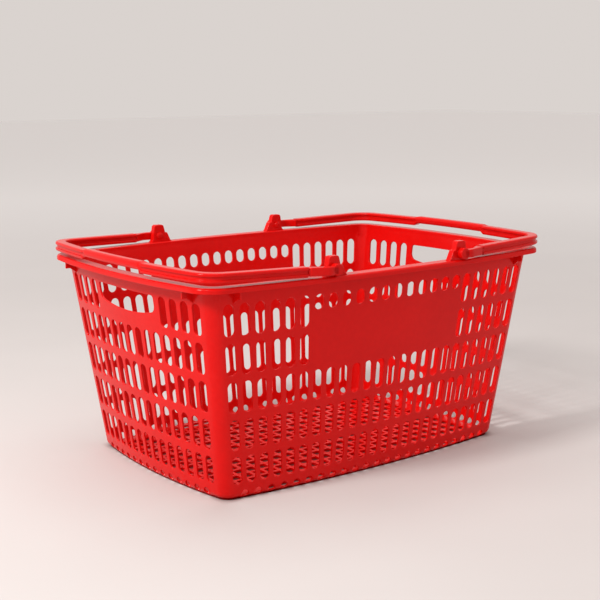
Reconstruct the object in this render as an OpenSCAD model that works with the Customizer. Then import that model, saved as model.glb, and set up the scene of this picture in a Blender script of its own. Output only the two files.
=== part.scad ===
// Hand-carried shopping basket: one moulded tub with slotted walls, and two folding bail handles.
// Millimetres. Origin at the centre of the resting face, X along the length, Y across, Z up.

/* [View] */
// Sub-part to draw, or all

/* [Tub] */
// Height of the top of the rim above the resting face
rim_z = 238; // [180:1:300]
// Half length of the outer wall face just under the rim
half_l = 246; // [180:1:300]
// Half width of the outer wall face just under the rim
half_w = 172.5; // [120:1:220]
// Plan radius of the long sides
long_r = 1800; // [800:10:4000]
// Plan radius of the short sides
short_r = 900; // [400:10:2000]
// Plan radius of the four upright corners
corner_r = 18; // [10:1:40]
// Wall thickness just under the rim
wall_t = 2.6; // [1.8:0.1:4]
// Length just under the rim divided by length at the foot
taper_x = 1.153; // [1.05:0.001:1.3]
// Width just under the rim divided by width at the foot
taper_y = 1.194; // [1.05:0.001:1.3]

/* [Slots] */
// Columns of slots in a long side
cols_long = 24; // [12:2:32]
// Columns of slots in a short side
cols_short = 15; // [9:2:21]
// Column pitch of the long sides, measured just under the rim
pitch_long = 18.55; // [12:0.1:24]
// Column pitch of the short sides, measured just under the rim
pitch_short = 19; // [12:0.1:24]
// Rows of slots
rows = 5; // [3:1:6]
// Height of the top of the upper row
row_top = 218; // [160:1:230]
// Row pitch
row_pitch = 42.2; // [30:0.1:60]
// Slot height
slot_h = 34.5; // [15:0.5:50]
// Height of the slots in the lowest row
low_h = 31.5; // [15:0.5:50]
// Slot width, measured just under the rim
slot_w = 12.2; // [6:0.1:16]
// Height of the short ovals above the label panel
oval_h = 16.8; // [12.5:0.1:34]
// Full-height columns at each end of a long side's upper rows
tall_cols = 6; // [2:1:10]
// Columns at each end of a short side's upper row, beside the hand hole
side_cols = 4; // [1:1:6]
// Height of the foot openings, one on each web between two columns
notch_h = 6.6; // [2:0.1:8]
// Width of the foot openings
notch_w = 9; // [8.2:0.1:12]
// Height of the centres of the foot openings
notch_z = 7; // [4:0.1:12]

/* [Hand holes] */
// Hand hole length
hole_l = 118; // [80:1:150]
// Height of the hand hole's flat top edge
hole_top = 217; // [180:1:225]
// Height of the lowest point of the hand hole
hole_bottom = 192.5; // [160:0.5:205]
// Radius of the curved lower edge
hole_sweep_r = 270; // [120:5:600]
// Radius of the two lower corners
hole_corner_r = 9; // [4:0.5:12]

/* [Floor] */
// Height of the underside of the floor above the resting face
floor_z = 0; // [0:0.1:8]
// Floor thickness
floor_t = 3; // [2:0.1:6]
// Side of a floor opening
floor_hole = 11.4; // [6:0.1:14]

/* [Rim] */
// Overhang of the rim beyond the outer wall face
rim_out = 14; // [8:0.5:20]
// Thickness of the rim flange
flange_t = 2.5; // [1.5:0.1:4]
// Full height of the down-turned lip
lip_h = 6; // [4:0.5:15]
// Thickness of the lip
lip_t = 2; // [1.2:0.1:3]

/* [Stacking fins] */
// Distance of the long-side fins from the middle of the basket
fin_x = 205; // [150:1:215]
// Distance of the short-side fins from the middle of the basket
fin_y = 128; // [90:1:140]
// Fin thickness
fin_t = 2; // [1.2:0.1:4]
// Fin reach beyond the outer wall face
fin_out = 11; // [4:0.5:12]
// Height of the fin's flat lower edge
fin_z = 224; // [200:1:230]

/* [Lugs] */
// Distance of the pivot axes from the middle of the basket
pivot_x = 93; // [60:1:120]
// Height of the pivot axes
pivot_z = 245.5; // [244:0.5:254]
// Lug thickness
lug_t = 7.8; // [5:0.1:10]
// Height of the top of the lugs
lug_top = 259.5; // [254:0.5:269]
// Pivot bore diameter
bore_d = 7.1; // [5:0.05:10]

/* [Handles] */
// Pivot pin diameter
pin_d = 7; // [4.9:0.05:9.9]
// Width of the handle bar
bar_w = 12; // [8:0.5:16]
// Height of the handle bar
bar_h = 11; // [8:0.5:14]
// Depth of the grooves in the bar's sides
groove_d = 1.8; // [0.5:0.1:3]
// Length of the grip
grip_l = 132; // [90:1:180]
// Height of the grip's underside above the bar's
grip_lift = 3; // [0:0.5:4]
// Height of the grip's section
grip_h = 9.5; // [7:0.5:14]
// Slope of a folded handle, in degrees
rest_tilt = 1.3; // [0:0.1:2]
// Radius of the hub around the pin
hub_r = 6.5; // [5:0.1:7]

/* [Hidden] */
$fn = 64;
tub_red = [0.80, 0.09, 0.07];
handle_red = [0.72, 0.07, 0.06];
cut = 1;
far_out = 300;

// Height of the wall panels: up to the underside of the rim flange
wall_h = rim_z - flange_t;

// Centre of the near-left corner arc, tangent inside both side arcs
long_cy = long_r - half_w;
short_cx = short_r - half_l;
reach_long = long_r - corner_r;
reach_short = short_r - corner_r;
span = sqrt(pow(long_cy, 2) + pow(short_cx, 2));
along = (pow(reach_long, 2) - pow(reach_short, 2) + pow(span, 2)) / (2 * span);
aside = sqrt(pow(reach_long, 2) - pow(along, 2));
corner_cx = along * short_cx / span - aside * long_cy / span;
corner_cy = long_cy - along * long_cy / span - aside * short_cx / span;
long_half_a = atan2(-corner_cx, long_cy - corner_cy);
short_half_a = atan2(-corner_cy, short_cx - corner_cx);

// Facets along the side arcs and the corner arcs
long_n = 24;
short_n = 16;
corner_n = 12;

// Plan curves, each at an outward offset from the outer wall face under the rim
function near_at(a, off) = [(long_r + off) * sin(a), long_cy - (long_r + off) * cos(a)];
function left_at(a, off) = [short_cx - (short_r + off) * cos(a), (short_r + off) * sin(a)];
function corner_at(a, off) = [corner_cx + (corner_r + off) * cos(a), corner_cy + (corner_r + off) * sin(a)];
function near_curve(a0, a1, off, n) = [for (i = [0:n]) near_at(a0 + (a1 - a0) * i / n, off)];
function left_curve(a0, a1, off, n) = [for (i = [0:n]) left_at(a0 + (a1 - a0) * i / n, off)];
function corner_curve(off) = [for (i = [0:corner_n])
    corner_at(180 + short_half_a + (90 - short_half_a - long_half_a) * i / corner_n, off)];
function backwards(p) = [for (i = [len(p) - 1:-1:0]) p[i]];
function swing(p) = [for (q = p) [-q[0], q[1]]];
function flip(p) = [for (q = p) [q[0], -q[1]]];

// Angles on the side arcs at a given X or Y, taken on the outer wall face
function long_a(x) = asin(x / long_r);
function short_a(y) = asin(y / short_r);

// Strips between two offsets; each side is in three bays, divided at two angles
bay_n = 8;
long_bay_a = long_a((cols_long / 2 - tall_cols) * pitch_long);
short_bay_a = short_a((cols_short / 2 - side_cols) * pitch_short);
function near_strip(a0, a1, o0, o1) = concat(near_curve(a0, a1, o1, bay_n),
    backwards(near_curve(a0, a1, o0, bay_n)));
function left_strip(a0, a1, o0, o1) = concat(left_curve(a0, a1, o1, bay_n),
    backwards(left_curve(a0, a1, o0, bay_n)));
function corner_strip(o0, o1) = concat(corner_curve(o1), backwards(corner_curve(o0)));

// Strips whose facets meet on the webs between the slots, so that no slot crosses a facet's edge
function near_y(x, off) = long_cy - sqrt(pow(long_r + off, 2) - pow(x, 2));
function left_x(y, off) = short_cx - sqrt(pow(short_r + off, 2) - pow(y, 2));
function near_web(c, off) = c == 0 ? near_at(-long_half_a, off)
    : c == cols_long ? near_at(long_half_a, off)
    : let (x = (c - cols_long / 2) * pitch_long) [x, near_y(x, off)];
function left_web(c, off) = c == 0 ? left_at(-short_half_a, off)
    : c == cols_short ? left_at(short_half_a, off)
    : let (y = (c - cols_short / 2) * pitch_short) [left_x(y, off), y];
function near_bay(c0, c1) = concat([for (c = [c0:c1]) near_web(c, 0)],
    [for (c = [c1:-1:c0]) near_web(c, -wall_t)]);
function left_bay(c0, c1) = concat([for (c = [c0:c1]) left_web(c, 0)],
    [for (c = [c1:-1:c0]) left_web(c, -wall_t)]);

// Size of the tub at a height, as a part of its size under the rim
function grow_x(z) = (1 + (taper_x - 1) * z / wall_h) / taper_x;
function grow_y(z) = (1 + (taper_y - 1) * z / wall_h) / taper_y;

// ---------------------------------------------------------------- walls

// How much narrower a slot's straight run is than its round ends, on each side
run_ease = 0.03;

// Round-ended slot between two heights, leaning with its column
module slot(u0, u1, z0, z1, w) {
    lean = atan2(u1 - u0, z1 - z0);
    run = sqrt(pow(u1 - u0, 2) + pow(z1 - z0, 2));
    translate([u0, z0]) rotate(-lean) {
        translate([0, w / 2]) circle(d = w);
        translate([run_ease - w / 2, w / 2]) square([w - 2 * run_ease, run - w]);
        translate([0, run - w / 2]) circle(d = w);
    }
}

module long_slot(c, top, tall) {
    u = (c - (cols_long - 1) / 2) * pitch_long;
    slot(u * grow_x(top - tall), u * grow_x(top), top - tall, top, slot_w * grow_x(top - tall));
}

module short_slot(c, top, tall) {
    u = (c - (cols_short - 1) / 2) * pitch_short;
    slot(u * grow_y(top - tall), u * grow_y(top), top - tall, top, slot_w * grow_y(top - tall));
}

module notch(u) {
    flat = notch_w - notch_h;
    translate([u - flat / 2, notch_z]) circle(d = notch_h);
    translate([u - flat / 2, notch_z - notch_h / 2]) square([flat, notch_h]);
    translate([u + flat / 2, notch_z]) circle(d = notch_h);
}

// Height of the slots in a row
function row_h(r) = r == rows - 1 ? low_h : slot_h;

// Hole pattern of a long side between two webs, seen from the front
module long_holes(c0, c1) {
    for (c = [c0:c1 - 1]) {
        inner = c >= tall_cols && c < cols_long - tall_cols;
        if (c > c0) notch((c - cols_long / 2) * pitch_long * grow_x(notch_z));
        if (inner) long_slot(c, row_top, oval_h);
        for (r = [0:rows - 1])
            if (!inner || r > 1) long_slot(c, row_top - r * row_pitch, row_h(r));
    }
}

// Hand hole: flat top, gently curved bottom with rounded corners
module hand_hole() {
    sweep_cz = hole_bottom + hole_sweep_r;
    knee_y = hole_l / 2 - hole_corner_r;
    knee_z = sweep_cz - sqrt(pow(hole_sweep_r - hole_corner_r, 2) - pow(knee_y, 2));
    intersection() {
        translate([0, sweep_cz]) circle(r = hole_sweep_r, $fn = 360);
        translate([-knee_y, hole_bottom - cut]) square([2 * knee_y, hole_top - hole_bottom + cut]);
    }
    for (s = [-1, 1]) {
        translate([s * knee_y, knee_z]) circle(r = hole_corner_r);
        translate([s * knee_y - hole_corner_r, knee_z]) square([2 * hole_corner_r, hole_top - knee_z]);
    }
}

// Hole pattern of a short side between two webs, seen from the end
module short_holes(c0, c1) {
    for (c = [c0:c1 - 1]) {
        inner = c >= side_cols && c < cols_short - side_cols;
        if (c > c0) notch((c - cols_short / 2) * pitch_short * grow_y(notch_z));
        for (r = [0:rows - 1])
            if (!inner || r > 0) short_slot(c, row_top - r * row_pitch, row_h(r));
    }
}

// Each wall shrinks towards the foot evenly in both directions, about its own centre, so its facets stay flat
near_mid = [0, half_w * (1 / taper_x - 1 / taper_y) / (1 - 1 / taper_x)];
left_mid = [half_l * (1 / taper_y - 1 / taper_x) / (1 - 1 / taper_y), 0];
function toward(q, mid, k) = [mid[0] + (q[0] - mid[0]) / k[0], mid[1] + (q[1] - mid[1]) / k[1]];

// The corner posts shrink so that their ends follow the ends of both walls
near_end = near_at(-long_half_a, 0);
left_end = left_at(-short_half_a, 0);
near_foot = toward(near_end, near_mid, [taper_x, taper_x]);
left_foot = toward(left_end, left_mid, [taper_y, taper_y]);
post_k = [
    (near_end[0] - left_end[0]) / (near_foot[0] - left_foot[0]),
    (near_end[1] - left_end[1]) / (near_foot[1] - left_foot[1])];
post_mid = [
    (near_end[0] - post_k[0] * near_foot[0]) / (1 - post_k[0]),
    (near_end[1] - post_k[1] * near_foot[1]) / (1 - post_k[1])];

module tapered(p, mid, k) {
    translate([mid[0], mid[1], 0]) linear_extrude(height = wall_h, scale = k, slices = 1)
        polygon([for (q = p) toward(q, mid, k) - mid]);
}

module long_wall(c0, c1) {
    color(tub_red) difference() {
        tapered(near_bay(c0, c1), near_mid, [taper_x, taper_x]);
        rotate([90, 0, 0]) linear_extrude(height = far_out) long_holes(c0, c1);
    }
}

module short_wall(c0, c1) {
    color(tub_red) difference() {
        tapered(left_bay(c0, c1), left_mid, [taper_y, taper_y]);
        rotate([90, 0, -90]) linear_extrude(height = far_out) short_holes(cols_short - c1, cols_short - c0);
    }
}

// The middle bay of a short side, with its hand hole
module hand_wall() {
    color(tub_red) difference() {
        short_wall(side_cols, cols_short - side_cols);
        rotate([90, 0, -90]) linear_extrude(height = far_out) hand_hole();
    }
}

module wall_near_left() { long_wall(0, tall_cols); }
module wall_near_middle() { long_wall(tall_cols, cols_long - tall_cols); }
module wall_near_right() { long_wall(cols_long - tall_cols, cols_long); }
module wall_far_left() { mirror([0, 1, 0]) wall_near_left(); }
module wall_far_middle() { mirror([0, 1, 0]) wall_near_middle(); }
module wall_far_right() { mirror([0, 1, 0]) wall_near_right(); }
module wall_left_near() { short_wall(0, side_cols); }
module wall_left_middle() { hand_wall(); }
module wall_left_far() { short_wall(cols_short - side_cols, cols_short); }
module wall_right_near() { mirror([1, 0, 0]) wall_left_near(); }
module wall_right_middle() { mirror([1, 0, 0]) wall_left_middle(); }
module wall_right_far() { mirror([1, 0, 0]) wall_left_far(); }

module corner_post() { tapered(corner_strip(-wall_t, 0), post_mid, post_k); }
module corner_near_left() { color(tub_red) corner_post(); }
module corner_near_right() { color(tub_red) mirror([1, 0, 0]) corner_post(); }
module corner_far_left() { color(tub_red) mirror([0, 1, 0]) corner_post(); }
module corner_far_right() { color(tub_red) rotate([0, 0, 180]) corner_post(); }

// ---------------------------------------------------------------- floor

// Columns left out at each end of the outermost rows, where the bowed side comes closer
row_trim = 3;
// How far the floor's lower edge is let into the walls
floor_lap = 0.08;

// Edge of the floor: the inner faces of the walls and posts at the height of its underside
floor_off = floor_lap - wall_t;
function at_floor(p, mid, k) = [for (q = p) [for (i = [0, 1])
    mid[i] + (q[i] - mid[i]) * (1 + (k[i] - 1) * floor_z / wall_h) / k[i]]];
function ends_off(p) = [for (i = [1:len(p) - 2]) p[i]];
floor_near = at_floor([for (c = [0:cols_long]) near_web(c, floor_off)], near_mid, [taper_x, taper_x]);
floor_left = at_floor([for (c = [0:cols_short]) left_web(c, floor_off)], left_mid, [taper_y, taper_y]);
floor_post = ends_off(at_floor(corner_curve(floor_off), post_mid, post_k));
floor_edge = concat(
    floor_near,
    backwards(swing(floor_post)),
    swing(floor_left),
    swing(flip(floor_post)),
    backwards(flip(floor_near)),
    backwards(flip(floor_post)),
    backwards(floor_left),
    floor_post);

// Openings on the column lines of the walls, one row more than the short sides have columns
module floor_grid() {
    step_x = pitch_long * grow_x(floor_z);
    step_y = pitch_short * grow_y(floor_z);
    side_rows = (cols_short + 1) / 2;
    color(tub_red) translate([0, 0, floor_z]) linear_extrude(height = floor_t) difference() {
        polygon(floor_edge);
        for (r = [-side_rows:side_rows]) {
            short_by = abs(r) == side_rows ? row_trim : 0;
            for (c = [short_by:cols_long - 1 - short_by])
                translate([(c - (cols_long - 1) / 2) * step_x, r * step_y])
                    square(floor_hole, center = true);
        }
    }
}

// ---------------------------------------------------------------- rim

module rim_piece(flange, lip) {
    translate([0, 0, wall_h]) linear_extrude(height = flange_t) polygon(flange);
    translate([0, 0, rim_z - lip_h]) linear_extrude(height = lip_h - flange_t) polygon(lip);
}

module long_rim(a0, a1) {
    color(tub_red) rim_piece(near_strip(a0, a1, -wall_t, rim_out), near_strip(a0, a1, rim_out - lip_t, rim_out));
}
module short_rim(a0, a1) {
    color(tub_red) rim_piece(left_strip(a0, a1, -wall_t, rim_out), left_strip(a0, a1, rim_out - lip_t, rim_out));
}
module bend_rim() { rim_piece(corner_strip(-wall_t, rim_out), corner_strip(rim_out - lip_t, rim_out)); }

module rim_near_left() { long_rim(-long_half_a, -long_bay_a); }
module rim_near_middle() { long_rim(-long_bay_a, long_bay_a); }
module rim_near_right() { long_rim(long_bay_a, long_half_a); }
module rim_far_left() { mirror([0, 1, 0]) rim_near_left(); }
module rim_far_middle() { mirror([0, 1, 0]) rim_near_middle(); }
module rim_far_right() { mirror([0, 1, 0]) rim_near_right(); }
module rim_left_near() { short_rim(-short_half_a, -short_bay_a); }
module rim_left_middle() { short_rim(-short_bay_a, short_bay_a); }
module rim_left_far() { short_rim(short_bay_a, short_half_a); }
module rim_right_near() { mirror([1, 0, 0]) rim_left_near(); }
module rim_right_middle() { mirror([1, 0, 0]) rim_left_middle(); }
module rim_right_far() { mirror([1, 0, 0]) rim_left_far(); }
module rim_corner_near_left() { color(tub_red) bend_rim(); }
module rim_corner_near_right() { color(tub_red) mirror([1, 0, 0]) bend_rim(); }
module rim_corner_far_left() { color(tub_red) mirror([0, 1, 0]) bend_rim(); }
module rim_corner_far_right() { color(tub_red) rotate([0, 0, 180]) bend_rim(); }

// ---------------------------------------------------------------- stacking fins

// Fin profile: reach from the wall against height; the wall face leans in below the rim
module fin(draft) {
    foot_z = fin_z - fin_out / 2;
    rotate([90, 0, 0]) linear_extrude(height = fin_t, center = true)
        polygon([
            [0, wall_h],
            [-(wall_h - foot_z) * draft, foot_z],
            [fin_out / 2, fin_z],
            [fin_out, fin_z],
            [fin_out, wall_h]]);
}

module long_fins() {
    draft = half_w * (1 - 1 / taper_y) / wall_h;
    for (s = [-1, 1])
        translate([s * fin_x, near_at(long_a(fin_x), 0)[1], 0]) rotate([0, 0, -90]) fin(draft);
}

module short_fins() {
    draft = half_l * (1 - 1 / taper_x) / wall_h;
    for (s = [-1, 1])
        translate([left_at(short_a(fin_y), 0)[0], s * fin_y, 0]) rotate([0, 0, 180]) fin(draft);
}

module fins_near() { color(tub_red) long_fins(); }
module fins_far() { color(tub_red) rotate([0, 0, 180]) long_fins(); }
module fins_left() { color(tub_red) short_fins(); }
module fins_right() { color(tub_red) rotate([0, 0, 180]) short_fins(); }

// ---------------------------------------------------------------- pivot lugs

lug_round = 3;
lug_top_half = 6.3;
lug_foot_arm = 9.5;
lug_foot_back = 11;
buttress_z = rim_z + 11;
buttress_top = 12;
buttress_foot = 16.5;
hub_gap = 0.35;
hub_t = 7;
// The lugs stand on the rim's flange, this far outside the inner face of the wall
lug_set = 6;
lug_in = near_at(long_a(pivot_x), -wall_t)[1] - lug_set;
lug_out = lug_in - lug_t;

// Near-left lug: upright plate with rounded top corners, stepped buttress towards the middle
module lug_plate() {
    shoulder = lug_top - lug_round;
    difference() {
        translate([-pivot_x, lug_in, 0]) rotate([90, 0, 0]) linear_extrude(height = lug_t) {
            polygon([
                [-lug_foot_arm, rim_z],
                [lug_foot_back, rim_z],
                [lug_top_half, shoulder],
                [-lug_top_half, shoulder]]);
            for (s = [-1, 1])
                translate([s * (lug_top_half - lug_round), shoulder]) circle(r = lug_round);
            translate([lug_round - lug_top_half, shoulder])
                square([2 * (lug_top_half - lug_round), lug_round]);
            polygon([[0, rim_z], [buttress_foot, rim_z], [buttress_top, buttress_z], [0, buttress_z]]);
        }
        translate([-pivot_x, 0, pivot_z]) rotate([90, 0, 0]) cylinder(d = bore_d, h = far_out);
    }
}

module lug_near_left() { color(tub_red) lug_plate(); }
module lug_near_right() { color(tub_red) mirror([1, 0, 0]) lug_plate(); }
module lug_far_left() { color(tub_red) mirror([0, 1, 0]) lug_plate(); }
module lug_far_right() { color(tub_red) rotate([0, 0, 180]) lug_plate(); }

// ---------------------------------------------------------------- handles

bar_z = rim_z + 1.2;
bar_out = rim_out + 1;
bar_in = bar_out - bar_w;
ridge_h = 3.6;
knuckle_x = 127;
grip_half = grip_l / 2;
step_l = 8;
neck_z = pivot_z - 5.5;
neck_h = 9.5;
neck_clear = 17;
neck_back = 12;
pin_head_d = 9;
pin_head_t = 1.6;
pin_gap = 0.4;
hub_in = lug_out - hub_gap;
hub_out = hub_in - hub_t;

// A folded handle slopes up a little from its pivots
module tilted() {
    translate([-pivot_x, 0, pivot_z]) rotate([0, rest_tilt, 0]) translate([pivot_x, 0, -pivot_z]) children();
}

// Bar section: two ridges with a recessed web between them
module bar(ridge, web) {
    translate([0, 0, bar_z]) linear_extrude(height = ridge_h) polygon(ridge);
    translate([0, 0, bar_z + ridge_h]) linear_extrude(height = bar_h - 2 * ridge_h) polygon(web);
    translate([0, 0, bar_z + bar_h - ridge_h]) linear_extrude(height = ridge_h) polygon(ridge);
}

// Near arm of the left handle, from the knuckle to the corner
function arm_strip(o0, o1) = concat(near_curve(-long_half_a, -long_a(knuckle_x), o1, long_n / 4),
    backwards(near_curve(-long_half_a, -long_a(knuckle_x), o0, long_n / 4)));
module arm() {
    tilted() bar(arm_strip(bar_in, bar_out), arm_strip(bar_in + groove_d, bar_out - groove_d));
}

// Near bend of the left handle, round the corner and up to the grip
function bend_strip(o0, o1) = concat(
    left_curve(-short_a(grip_half), -short_half_a, o1, short_n / 4),
    corner_curve(o1),
    backwards(corner_curve(o0)),
    left_curve(-short_half_a, -short_a(grip_half), o0, short_n / 4));
module bend() {
    tilted() bar(bend_strip(bar_in, bar_out), bend_strip(bar_in + groove_d, bar_out - groove_d));
}

// Grip of the left handle: raised, with rounded edges and a short step down at each end
function grip_strip(half, inset) = concat(
    left_curve(-short_a(half), short_a(half), bar_out - inset, short_n / 2),
    backwards(left_curve(-short_a(half), short_a(half), bar_in + inset, short_n / 2)));
module grip() {
    edge = 1.2;
    tilted() {
        translate([0, 0, bar_z + grip_lift]) linear_extrude(height = edge)
            polygon(grip_strip(grip_half - step_l, edge));
        translate([0, 0, bar_z + grip_lift + edge]) linear_extrude(height = grip_h - 2 * edge)
            polygon(grip_strip(grip_half, 0));
        translate([0, 0, bar_z + grip_lift + grip_h - edge]) linear_extrude(height = edge)
            polygon(grip_strip(grip_half - step_l, edge));
    }
}

// Near hub of the left handle: neck beside the lug, hub, and the pin through the lug's bore
module hub() {
    knuckle_in = near_at(long_a(knuckle_x), bar_in)[1];
    knuckle_out = near_at(long_a(knuckle_x), bar_out)[1];
    tilted() {
        translate([0, 0, neck_z]) linear_extrude(height = neck_h)
            polygon([
                [-pivot_x, hub_in],
                [-pivot_x - neck_clear, hub_in],
                [-knuckle_x, knuckle_in],
                [-knuckle_x, knuckle_out],
                [-pivot_x - neck_back, hub_out],
                [-pivot_x, hub_out]]);
        translate([-pivot_x, hub_in, pivot_z]) rotate([90, 0, 0]) cylinder(r = hub_r, h = hub_t);
        translate([-pivot_x, lug_in + pin_gap, pivot_z]) rotate([90, 0, 0])
            cylinder(d = pin_d, h = lug_in + pin_gap - hub_in);
        translate([-pivot_x, lug_in + pin_gap + pin_head_t, pivot_z]) rotate([90, 0, 0])
            cylinder(d1 = pin_d, d2 = pin_head_d, h = pin_head_t);
    }
}

module grip_left() { color(handle_red) grip(); }
module bend_left_near() { color(handle_red) bend(); }
module bend_left_far() { color(handle_red) mirror([0, 1, 0]) bend(); }
module arm_left_near() { color(handle_red) arm(); }
module arm_left_far() { color(handle_red) mirror([0, 1, 0]) arm(); }
module hub_left_near() { color(handle_red) hub(); }
module hub_left_far() { color(handle_red) mirror([0, 1, 0]) hub(); }
module grip_right() { color(handle_red) mirror([1, 0, 0]) grip(); }
module bend_right_near() { color(handle_red) mirror([1, 0, 0]) bend(); }
module bend_right_far() { color(handle_red) rotate([0, 0, 180]) bend(); }
module arm_right_near() { color(handle_red) mirror([1, 0, 0]) arm(); }
module arm_right_far() { color(handle_red) rotate([0, 0, 180]) arm(); }
module hub_right_near() { color(handle_red) mirror([1, 0, 0]) hub(); }
module hub_right_far() { color(handle_red) rotate([0, 0, 180]) hub(); }

floor_grid();
wall_near_left();
wall_near_middle();
wall_near_right();
wall_far_left();
wall_far_middle();
wall_far_right();
wall_left_near();
wall_left_middle();
wall_left_far();
wall_right_near();
wall_right_middle();
wall_right_far();
corner_near_left();
corner_near_right();
corner_far_left();
corner_far_right();
rim_near_left();
rim_near_middle();
rim_near_right();
rim_far_left();
rim_far_middle();
rim_far_right();
rim_left_near();
rim_left_middle();
rim_left_far();
rim_right_near();
rim_right_middle();
rim_right_far();
rim_corner_near_left();
rim_corner_near_right();
rim_corner_far_left();
rim_corner_far_right();
lug_near_left();
lug_near_right();
lug_far_left();
lug_far_right();
fins_near();
fins_far();
fins_left();
fins_right();
grip_left();
bend_left_near();
bend_left_far();
arm_left_near();
arm_left_far();
hub_left_near();
hub_left_far();
grip_right();
bend_right_near();
bend_right_far();
arm_right_near();
arm_right_far();
hub_right_near();
hub_right_far();
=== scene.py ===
"""Red plastic shopping basket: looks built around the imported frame. Sizes are in millimetres until mm() turns
them into metres. Near is -Y, left is -X."""
import math
import bmesh
import bpy
import numpy as np
from mathutils import Matrix, Vector
from mathutils.geometry import tessellate_polygon


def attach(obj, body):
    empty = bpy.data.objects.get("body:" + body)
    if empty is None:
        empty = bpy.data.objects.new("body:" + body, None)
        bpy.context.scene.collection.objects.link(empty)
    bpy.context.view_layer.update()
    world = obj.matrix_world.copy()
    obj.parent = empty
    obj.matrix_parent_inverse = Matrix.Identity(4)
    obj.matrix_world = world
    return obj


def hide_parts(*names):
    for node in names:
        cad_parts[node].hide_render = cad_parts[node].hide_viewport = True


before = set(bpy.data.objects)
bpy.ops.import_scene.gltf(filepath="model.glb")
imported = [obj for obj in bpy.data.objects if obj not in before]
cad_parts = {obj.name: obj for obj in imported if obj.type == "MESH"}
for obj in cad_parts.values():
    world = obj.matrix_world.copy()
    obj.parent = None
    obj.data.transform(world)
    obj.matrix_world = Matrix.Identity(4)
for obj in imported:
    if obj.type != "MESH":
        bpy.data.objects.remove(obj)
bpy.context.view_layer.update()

# ---------------------------------------------------------------- sizes, as in part.scad
RIM_Z = 238.0
FLANGE = 2.5
WALL_H = RIM_Z - FLANGE
HALF_L, HALF_W = 246.0, 172.5
LONG_R, SHORT_R, CORNER_R = 1800.0, 900.0, 18.0
WALL_T = 2.6
TX, TY = 1.153, 1.194
COLS_L, COLS_S = 24, 15
PITCH_L, PITCH_S = 18.55, 19.0
ROW_TOP, ROW_PITCH, SLOT_H, LOW_H, SLOT_W, OVAL_H = 218.0, 42.2, 34.5, 31.5, 12.2, 16.8
TALL, SIDE = 6, 4
NOTCH_Z = 7.0
HOLE_L, HOLE_TOP, HOLE_BOT, SWEEP_R, KNEE_R = 118.0, 217.0, 192.5, 270.0, 9.0
FLOOR_Z, FLOOR_T, FLOOR_HOLE = 0.0, 3.0, 11.4
RIM_OUT, LIP_H, LIP_T = 14.0, 6.0, 2.0
PIVOT_X, PIVOT_Z = 93.0, 245.5
TILT = math.radians(1.3)

# centre of the corner arc, which is tangent inside both side arcs, and the two angles where it meets them
LCY, SCX = LONG_R - HALF_W, SHORT_R - HALF_L
to_long, to_short = LONG_R - CORNER_R, SHORT_R - CORNER_R
span = math.hypot(LCY, SCX)
along = (to_long ** 2 - to_short ** 2 + span ** 2) / (2 * span)
aside = math.sqrt(to_long ** 2 - along ** 2)
CX = along * SCX / span - aside * LCY / span
CY = LCY - along * LCY / span - aside * SCX / span
LA = math.atan2(-CX, LCY - CY)
SA = math.atan2(-CY, SCX - CX)

# the walls draft towards these points of the plan
NEAR_MID = np.array([0.0, HALF_W * (1 / TX - 1 / TY) / (1 - 1 / TX)])
LEFT_MID = np.array([HALF_L * (1 / TY - 1 / TX) / (1 - 1 / TY), 0.0])

# radius of the turned-under foot on the outer face, and how much smaller it is on the inner face
FOOT_R, FOOT_T = 8.0, 2.3


def true_size(z, taper):
    """Size at height z as a part of the size under the rim; straight up above the flange's underside."""
    return (1 + (taper - 1) * np.minimum(z, WALL_H) / WALL_H) / taper


def foot_curve(z, share=0.0):
    """The walls turn under at the foot, where z counts along the surface. Gives the true height and the
    inward shift. share is 0 on the outer face and 1 on the inner face."""
    a = np.maximum((FOOT_R - np.asarray(z, float)) / FOOT_R, 0)
    r = FOOT_R - FOOT_T * share
    return np.where(a > 0, FOOT_R - r * np.sin(a), z), r * (1 - np.cos(a))


def grow(z, taper):
    """Like true_size, for z counted along the foot's curve."""
    return true_size(foot_curve(z)[0], taper)


def mm(p):
    return np.asarray(p, float) * 0.001


# ---------------------------------------------------------------- plan curves under the rim
def near_top(x, off=0.0):
    """Point of the near side's plan curve at x, going on round the corner arc."""
    x = np.asarray(x, float)
    r = LONG_R + off
    y = LCY - np.sqrt(np.maximum(r * r - x * x, 0))
    rc = CORNER_R + off
    lim = -CX + rc * math.sin(LA)
    ax = np.abs(x)
    yc = CY - np.sqrt(np.maximum(rc * rc - (ax + CX) ** 2, 0))
    return np.stack([x, np.where(ax > lim, yc, y)], -1)


def left_top(y, off=0.0):
    """Point of the left side's plan curve at y."""
    y = np.asarray(y, float)
    r = SHORT_R + off
    x = SCX - np.sqrt(np.maximum(r * r - y * y, 0))
    return np.stack([x, y], -1)


def near_wall(h, z, off):
    """3-D point of the near wall: h is the true x at height z."""
    k = np.asarray(grow(z, TX))
    true_z, shift = foot_curve(z, min(1.0, max(0.0, -off / WALL_T)))
    p = near_top(h / k, off - shift / k)
    q = NEAR_MID + (p - NEAR_MID) * k[..., None]
    return np.concatenate([q, true_z[..., None]], -1)


def left_wall(h, z, off):
    """3-D point of the left wall: h is the true y at height z."""
    k = np.asarray(grow(z, TY))
    true_z, shift = foot_curve(z, min(1.0, max(0.0, -off / WALL_T)))
    p = left_top(h / k, off - shift / k)
    q = LEFT_MID + (p - LEFT_MID) * k[..., None]
    return np.concatenate([q, true_z[..., None]], -1)


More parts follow.
